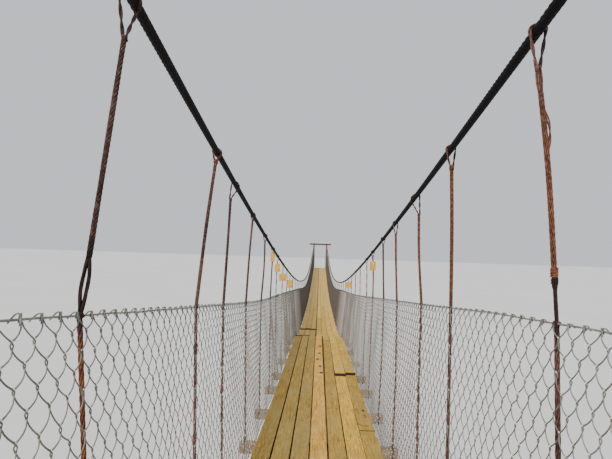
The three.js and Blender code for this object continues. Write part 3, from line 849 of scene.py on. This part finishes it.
def beam_wrap(pile, y, side, radius, sides):
    """Two turns of wire round the crossbeam where the hanger ends."""
    half = BEAM_WIDTH / 2 + radius
    top = beam_top(y) + radius
    low = top - BEAM_DEPTH - 2 * radius
    for way in (-1, 1):
        x = side * (HANGER_FOOT_X + way * radius * 1.2)
        corners = np.array([(x, y - half, top), (x, y + half, top),
                            (x, y + half, low), (x, y - half, low)])
        path = [p + (q - p) * s for p, q in zip(corners, np.roll(corners, -1, axis=0))
                for s in (0.08, 0.5, 0.92)]
        tubes(pile, path + path[:1], radius, sides, ACROSS, tone=0.4)


def bowed(share, start, end, bow, margin=0.0):
    """Which points are in a stretch, and how far each of them bows out."""
    pick = (share >= start - margin) & (share <= end + margin)
    along = np.clip((share[pick] - start) / (end - start), 0, 1)
    return pick, real(bow) * np.sin(along * math.pi)[:, None]


def hanger(pile, number, side):
    """A hanger: its loop, its wires above and below the rail, and its ties."""
    fine = number < FINE_HANGERS
    shape = SEEN_HANGERS.get((side, number), NEAR_HANGER if fine else FAR_HANGER)
    place, beam = CABLE_PLACES[side][number], HANGERS[number]
    top = cable_point(place, side)
    rail = rail_point(RAIL_PLACES[side][number], side)
    joint = top + (rail - top) * min(real(shape.joint) / (top[2] - rail[2]), 0.5)
    joint[:2] += real(shape.off) * (side, 1)
    foot = np.array([side * HANGER_FOOT_X, beam, beam_top(beam) + real(5)])
    middles = np.array([joint + (rail - joint) * 0.45, (rail + foot) / 2])
    bends = stray(5, (2, 2))
    middles[:, :2] += real(shape.bends) if shape.bends else bends
    sides = 4 if fine else 3
    many, fewer = next(points for end, *points in HANGER_POINTS if number < end)
    upper = smooth_path([joint, middles[0], rail], many)
    lower = smooth_path([rail, middles[1], foot], fewer)
    share = np.linspace(0, 1, len(upper))
    rust_and_shade = np.interp(share, *zip(*shape.tones))
    thin_from, thin = shape.thinner
    width = np.interp(share, (thin_from, thin_from + 0.01), (1.0, thin))
    core = real(shape.spread + shape.radius) * CORE
    cable_loop(pile, place, side, joint, shape, fine)
    start, end = shape.parted[:2] if shape.parted else (1.0, 1.0)
    for pick in (share <= start, share >= end):
        if pick.sum() > 2:
            strands(pile, upper[pick], shape.wires, shape.radius, shape.spread * width[pick],
                    shape.lay, sides, rust_and_shade[pick])
            # The core, seen between the wires, is drawn at half tone: painted shade inside the
            # bundle.
            if fine:
                tubes(pile, upper[pick], core * width[pick], sides, tone=rust_and_shade[pick] * 0.5)
    if shape.parted:
        pick, out = bowed(share, *shape.parted, 0.004)
        for way in (-1, 1):
            apart = way * (out * (ACROSS + 0.3 * ALONG) + real(2.4) * ACROSS)
            strands(pile, upper[pick] + apart, shape.wires // 2, shape.radius * 1.15,
                    shape.spread * 0.5, shape.lay * 3, sides, rust_and_shade[pick])
    if shape.loose:
        pick, out = bowed(share, *shape.loose)
        strands(pile, upper[pick] + out * ACROSS, 2, shape.radius, 2.6, shape.lay, sides,
                rust_and_shade[pick])
    low_tone = np.interp(np.linspace(0, 1, len(lower)), (0.02, 0.06), (rust_and_shade[-1], shape.low_tone))
    strands(pile, lower, max(shape.wires - 1, 2), shape.radius, shape.spread * 0.95,
            shape.lay * LOWER_LAY, sides, low_tone)
    # The lower core is at half tone too: painted shade inside the bundle.
    if fine:
        tubes(pile, lower, core * LOWER_CORE, sides, tone=low_tone * 0.5)
    beam_wrap(pile, beam, side, real(shape.radius), sides)
    for below, reach, turns, height, tone in shape.ties:
        centre = upper[int(real(below) / (joint[2] - rail[2]) * (len(upper) - 1))]
        wire_turns(pile, centre, real(reach), turns, real(height), real(2.2), tone)
    if (side, number) == CABLE_WRAP:
        wire_turns(pile, cable_point(place + real(20), side), ROPE_RADIUS + real(2), turns=4,
                   height=real(34), radius=real(2.4), tone=0.9, axis=ALONG + CABLE_TILT * UP)
    if fine:
        wire_turns(pile, rail, RAIL_RADIUS + real(5), turns=4, height=real(28), radius=real(1.4),
                   tone=0.1, axis=ALONG, per_turn=8, sides=4)


def hanger_pieces():
    ends = bay_ends(POST_RADIUS, POST_RADIUS)
    for name, side in SIDES:
        for bay in range(BAYS):
            pile = Pile()
            for number in range(bay * PER_BAY, (bay + 1) * PER_BAY):
                hanger(pile, number, side)
            node = f"{name}_hangers_{bay + 1}"
            pile.make(f"{name}_twisted_hangers_{bay + 1}", RUST, "hanger_wire", node)
            y = np.linspace(ends[bay], ends[bay + 1], 120 if bay == 0 else 50)
            path = rail_point(y, side).T
            path[:, ::2] += stray(0.8, (2, len(y))).T
            rail = Pile()
            tubes(rail, path, RAIL_RADIUS, 8 if bay == 0 else 4, ACROSS, tone=0.1)
            rail.make(f"{name}_rail_wire_{bay + 1}", MESH_WIRE, "wire_mesh", node)


# Woven wire sides: upright zigzag wires, each hooked into the next by a small eye.
MESH_HALF_PITCH = real(42)
MESH_SHIFT = {-1: real(25), 1: 0.0}
MESH_ROWS = 24
MESH_WIRE_RADIUS = real(2.25)
FAR_MESH_WIRE_RADIUS = real(2.6)
EYE_HEIGHT = 0.34
EYE_HALF_WIDTH = real(5.3)
WIRE_DEPTH = real(1.2)
FIRST_ROW = 0.80
ROW_STRETCH = 1.04
MESH_JITTER = (real(2.4), 0.045)
SMALLEST_EYE = 0.35
KNOT_SWELL = 0.3
# Random wire tones stay under this, where the knots' painted highlight begins.
WIRE_TONES = 0.8
MESH_START = -0.002
TUCK_END = 0.03
MESH_TOP_IN = RAIL_RADIUS + real(2)
MESH_LEAN_IN = real(12.5)
EDGE_WIRE_RADIUS = real(2)
# Where each stretch of the sides ends, with its points a row and the sides of its wires.
MESH_DETAIL = ((1650, 2, 3), (3900, 5, 4), (8200, 3, 3), (13500, 2, 3), (48600, 1, 3))
# How much of a leg's way sideways comes late, and the power of that, out and back.
LEG_BOWS = ((0.45, 0.90), (2.3, 2.9))
# Shares of a leg at which a wire has more points, by its number of points a row.
LEG_POINTS = {5: (0.4, 0.66, 0.86), 3: (0.62,)}
HOOK_REACH = RAIL_RADIUS + real(1.6)


def mesh_place(y, down, depth, side):
    """A point of the leaning side: place along, share of the way down, depth outwards."""
    top = level(rail_curves[side], y)
    foot = level(deck_curve, y) - BOARD_THICKNESS * 0.6
    rail_x = level(rail_x_curve, y)
    inner = np.interp(down, [0, TUCK_END], [MESH_TOP_IN, MESH_LEAN_IN])
    past_tuck = np.clip((down - TUCK_END) / (1 - TUCK_END), 0, 1)
    lean = rail_x - inner + past_tuck * (MESH_FOOT_X + MESH_LEAN_IN - rail_x)
    bulge = (real(7) * np.sin(y * 5.3 + side) * np.sin(down * math.pi)
             + real(4) * np.sin(y * 17.0) * np.sin(down * 5))
    return np.stack([side * (lean + depth + bulge), y, top + (foot - top) * down], axis=-1)


def leg_share(u, toward):
    """How far a wire has gone sideways, a share u of the way down a leg."""
    bow, power = (np.where(toward > 0, *pair) for pair in LEG_BOWS)
    return (1 - bow) * u + bow * u ** power


def woven_wires(pile, columns, detail, sides, side):
    """A stretch of a side, a wire for each column, in rows of hooks and legs."""
    shape = (len(columns) + 2, MESH_ROWS + 2)
    jitter = rng.normal(0, 1, (*shape, 2)) * MESH_JITTER
    eyes = rng.uniform(SMALLEST_EYE, 1.0, shape) * (EYE_HEIGHT if detail > 1 else 0)
    shade = rng.random(len(columns)) * WIRE_TONES
    zero = np.zeros(len(columns))
    wires = []
    for n in range(MESH_ROWS + 1):
        # A wire is at its left column on rows of its own parity, at its right one else.
        right = (columns + n) % 2
        slot = columns + right - columns[0]
        toward = 2.0 * right - 1
        depth = WIRE_DEPTH * toward
        y = (columns + right) * MESH_HALF_PITCH + MESH_SHIFT[side] + jitter[slot, n, 0]
        if n == 0:
            wires.append((y, zero + MESH_START, depth * 0.5, shade))
            last_y, last_down = y, zero
            continue
        down = ((n - 1 + FIRST_ROW + jitter[slot, n, 1]) / MESH_ROWS) ** ROW_STRETCH
        eye = eyes[slot, n]
        for u in LEG_POINTS.get(detail, ()):
            wires.append((last_y + (y - last_y) * leg_share(u, toward),
                          last_down + (down - last_down) * u, depth, shade))
        # Knot points get tone one, which the wire look paints as a highlight.
        wires.append((y, down, depth, zero + 1))
        last_y, last_down = y, down + eye / MESH_ROWS
        if detail >= 4:
            out = EYE_HALF_WIDTH * (0.4 + 0.8 * eye / EYE_HEIGHT)
            wires.append((y + toward * out, down + eye * 0.5 / MESH_ROWS, zero, shade))
        if detail >= 2:
            wires.append((y, last_down, -depth, shade))
    y, down, depth, tone = np.array(wires).transpose(1, 2, 0)
    down = np.clip(down, MESH_START, 1.0)
    radius = MESH_WIRE_RADIUS if detail > 3 else FAR_MESH_WIRE_RADIUS
    radius = radius * (1 + KNOT_SWELL * (tone == 1))
    tubes(pile, mesh_place(y, down, depth, side), radius, sides, ACROSS, tone)


def rail_hooks(pile, columns, side):
    """The wires' ends bent over the rail, two at every other column."""
    high, long = (1.0, 1.0) if side < 0 else (0.55, 0.5)
    for column in columns[columns % 2 == 0]:
        base = rail_point(column * MESH_HALF_PITCH + MESH_SHIFT[side] + stray(1.5), side)
        rise = (real(12) + stray(1.5)) * high
        slant = (real(26) + stray(3)) * long
        # Across as a share of the reach inwards, then along and up.
        hooks = (
            (14, [(1, real(4), -real(12)), (1, real(2), 0), (0.9, real(1), rise * 0.6),
                  (0.3, -real(2), rise), (-0.6, -real(8), rise * 0.9),
                  (-1, -slant, real(1)), (-0.9, -slant - real(6), -real(3))]),
            (12, [(1, -real(3), -real(12)), (1, 0, real(2)), (0.6, real(5), rise * 0.9),
                  (-0.5, real(8), rise * 0.8), (-1, real(9), 0), (-1, real(8), -real(8))]))
        for count, points in hooks:
            path = base + np.array(points) * (-side * HOOK_REACH, 1, 1)
            tubes(pile, smooth_path(path, count), MESH_WIRE_RADIUS, tone=0.2)


def columns_between(start, stop):
    return np.arange(math.ceil(start / MESH_HALF_PITCH), math.ceil(stop / MESH_HALF_PITCH))


def mesh_pieces():
    ends = bay_ends(PLATE_LENGTH / 2 + real(5), PLATE_LENGTH / 2 + real(60))
    for name, side in SIDES:
        for bay in range(BAYS):
            pile = Pile()
            begin = start = ends[bay]
            stop = ends[bay + 1]
            for high, detail, sides in MESH_DETAIL:
                end = min(real(high), stop)
                if begin < end:
                    woven_wires(pile, columns_between(begin, end), detail, sides, side)
                    begin = end
            if bay == 0:
                rail_hooks(pile, columns_between(start, stop), side)
            y = np.linspace(start, stop, 40)
            edge = mesh_place(y, 0.995, real(3), side)
            tubes(pile, edge, EDGE_WIRE_RADIUS, up=ACROSS, tone=0.3)
            node = f"{name}_mesh_panel_{bay + 1}"
            pile.make(f"{name}_woven_side_{bay + 1}", MESH_WIRE, "wire_mesh", node)


# Wooden blocks, portals and concrete.
BLOCK_EASE = real(4)
BLOCK_CUT = real(40)
BLOCK_WEAR = real(1.2)
PIPE_SIDES = 32
WELD = real(6)
WELD_PROUD = real(5)
BOLT_PLACE = real((42, 95))
# Radius and height above the plate, up a bolt's head.
BOLT = real(((13, 0), (13, 9), (11, 11)))


def wood_block(node):
    """A block with rounded edges, worn a little all over."""
    low, high = (Vector(corner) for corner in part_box(node))
    size = high - low
    body = bmesh.new()
    bmesh.ops.create_cube(body, size=1.0)
    for vertex in body.verts:
        vertex.co = vertex.co * size + (low + high) / 2
    bmesh.ops.bevel(
        body, geom=body.edges[:], offset=BLOCK_EASE, segments=3, profile=0.5, affect="EDGES")
    for axis in range(3):
        pieces = int(size[axis] / BLOCK_CUT)
        normal = Vector()
        normal[axis] = 1
        for k in range(1, pieces):
            bmesh.ops.bisect_plane(
                body, geom=body.verts[:] + body.edges[:] + body.faces[:],
                plane_co=low + normal * (size[axis] * k / pieces), plane_no=normal)
    draws = np.random.default_rng(len(node))
    for vertex in body.verts:
        worn = vertex.co + Vector(draws.normal(0, BLOCK_WEAR, 3))
        vertex.co = [min(max(worn[i], low[i]), high[i]) for i in range(3)]
    mesh = bpy.data.meshes.new(f"{node}_dressed")
    body.to_mesh(mesh)
    body.free()
    add_piece(mesh.name, mesh, PALE_WOOD, node)


def wood_block_pieces():
    for name, count in (("left", 4), ("right", 2)):
        for number in range(count):
            wood_block(f"{name}_wood_block_{number + 1}")


def node_box(node):
    """A solid's box, with places along the bridge measured from the near portal."""
    return [np.array(corner) + ORIGIN_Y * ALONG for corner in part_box(node)]


def plate(pile, low, high, ease=real(1.5)):
    """A flat plate with eased edges, standing square."""
    (x0, y0, z0), (x1, y1, z1) = low, high
    pile.add([[(x0 + inset, y0 + inset, z), (x1 - inset, y0 + inset, z),
               (x1 - inset, y1 - inset, z), (x0 + inset, y1 - inset, z)]
              for inset, z in ((ease, z0), (0, z0 + ease), (0, z1 - ease), (ease, z1))])


def round_body(pile, x, y, sides, profile):
    """An upright round body, from pairs of radius and height."""
    angles = circle(sides)
    pile.add([np.stack([x + r * np.cos(angles), y + r * np.sin(angles), z + 0 * angles], axis=1)
              for r, z in profile])


def portal_post(node):
    """A pipe with a weld at each plate, bolted down through its foot plate."""
    (x0, y0, z0), (x1, y1, z1) = node_box(node)
    x, y = (x0 + x1) / 2, (y0 + y1) / 2
    foot, head = z0 + PLATE_THICKNESS, z1 - PLATE_THICKNESS
    pipe = POST_RADIUS - WELD_PROUD
    pile = Pile()
    plate(pile, (x0, y0, z0), (x1, y1, foot))
    plate(pile, (x0, y0, head), (x1, y1, z1))
    round_body(pile, x, y, PIPE_SIDES, [
        (POST_RADIUS, foot), (pipe, foot + WELD),
        *((pipe, z) for z in np.linspace(z0 + real(60), z1 - real(60), 12)),
        (pipe, head - WELD), (POST_RADIUS, head)])
    for way in (-1, 1):
        for across in (-1, 1):
            bolt_x, bolt_y = (x, y) + BOLT_PLACE * (across, way)
            round_body(pile, bolt_x, bolt_y, 6, BOLT + (0, foot))
    pile.make(f"{node}_dressed", PORTAL, "red_steel", node)


def crossbar(node):
    """An I-beam with eased edges and rounded inner corners."""
    (x0, y0, z0), (x1, y1, z1) = node_box(node)
    middle, half, web = (y0 + y1) / 2, (y1 - y0) / 2, CROSSBAR_WEB / 2
    flange, ease, corner = CROSSBAR_FLANGE, real(2), real(6)
    quarter = [(half - ease, 0), (half, ease), (half, flange - ease), (half - ease, flange),
               (web + corner, flange), (web, flange + corner)]
    quarters = ((1, z0, 1), (1, z1, -1), (-1, z1, -1), (-1, z0, 1))
    outline = [(middle + way * y, edge + rise * z) for way, edge, rise in quarters
               for y, z in quarter[::way * rise]]
    pile = Pile()
    pile.add([[(x, y, z) for y, z in outline] for x in np.linspace(x0, x1, 14)])
    pile.make(f"{node}_dressed", PORTAL, "red_steel", node, smooth=False)


def end_pieces():
    """The portals, and the finish of the concrete solids."""
    for end in ("near", "far"):
        portal_post(f"{end}_left_post")
        portal_post(f"{end}_right_post")
        crossbar(f"{end}_crossbar")
        for part in ("abutment", "anchor_block"):
            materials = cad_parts[f"{end}_{part}"].data.materials
            materials.clear()
            materials.append(CONCRETE)


# Stage: a plain pale floor and soft light.
FLOOR_SIZE = 400.0


def stage():
    mesh = bpy.data.meshes.new("studio_floor")
    half = FLOOR_SIZE / 2
    corners = [(-half, -half, 0), (half, -half, 0), (half, half, 0), (-half, half, 0)]
    mesh.from_pydata(corners, [], [(0, 1, 2, 3)])
    mesh.materials.append(noise_look(
        "studio_floor", [(0.3, 2.0)], [(0.3, 0.7, 0.7, 0.69), (0.7, 0.74, 0.74, 0.73)],
        roughness=0.9))
    floor = add_object("studio_floor", mesh)
    world = bpy.data.worlds.new("soft_studio")
    world.use_nodes = True
    background = world.node_tree.nodes["Background"].inputs
    background["Color"].default_value = (0.86, 0.90, 0.96, 1)
    background["Strength"].default_value = 0.85
    bpy.context.scene.world = world
    light = bpy.data.lights.new("key_light", "SUN")
    light.energy = 3.0
    light.angle = math.radians(12)
    light.color = (1.0, 0.95, 0.88)
    sun = add_object("key_light", light)
    sun.rotation_euler = (math.radians(38), math.radians(-28), 0)


# Camera, from the photo's lines: it stands on the deck just past the near portal. Its
# spot is across, along and above the deck's end.
CAMERA_SPOT = real((-40, 909, 1334))
CAMERA_YAW = 0.0293
CAMERA_PITCH = 0.0484
CAMERA_ROLL = 0.0317
FOCAL_PIXELS = 494.0
PHOTO_WIDTH = 612


def camera():
    data = bpy.data.cameras.new("view_camera")
    data.sensor_width = 36.0
    data.sensor_fit = "HORIZONTAL"
    data.lens = FOCAL_PIXELS * data.sensor_width / PHOTO_WIDTH
    data.clip_start = 0.01
    data.clip_end = 1000
    matrix = Matrix.Translation(CAMERA_SPOT - ORIGIN_Y * ALONG + FLOOR_TO_DECK_END * UP)
    for turn, axis in ((CAMERA_YAW, "Z"), (math.pi / 2 + CAMERA_PITCH, "X"), (CAMERA_ROLL, "Z")):
        matrix = matrix @ Matrix.Rotation(turn, 4, axis)
    item = add_object("view_camera", data)
    item.matrix_world = matrix
    bpy.context.scene.camera = item


camera()
stage()
deck_pieces()
beam_pieces()
nail_pieces()
knot_pieces()
cable_pieces()
hanger_pieces()
mesh_pieces()
wood_block_pieces()
end_pieces()
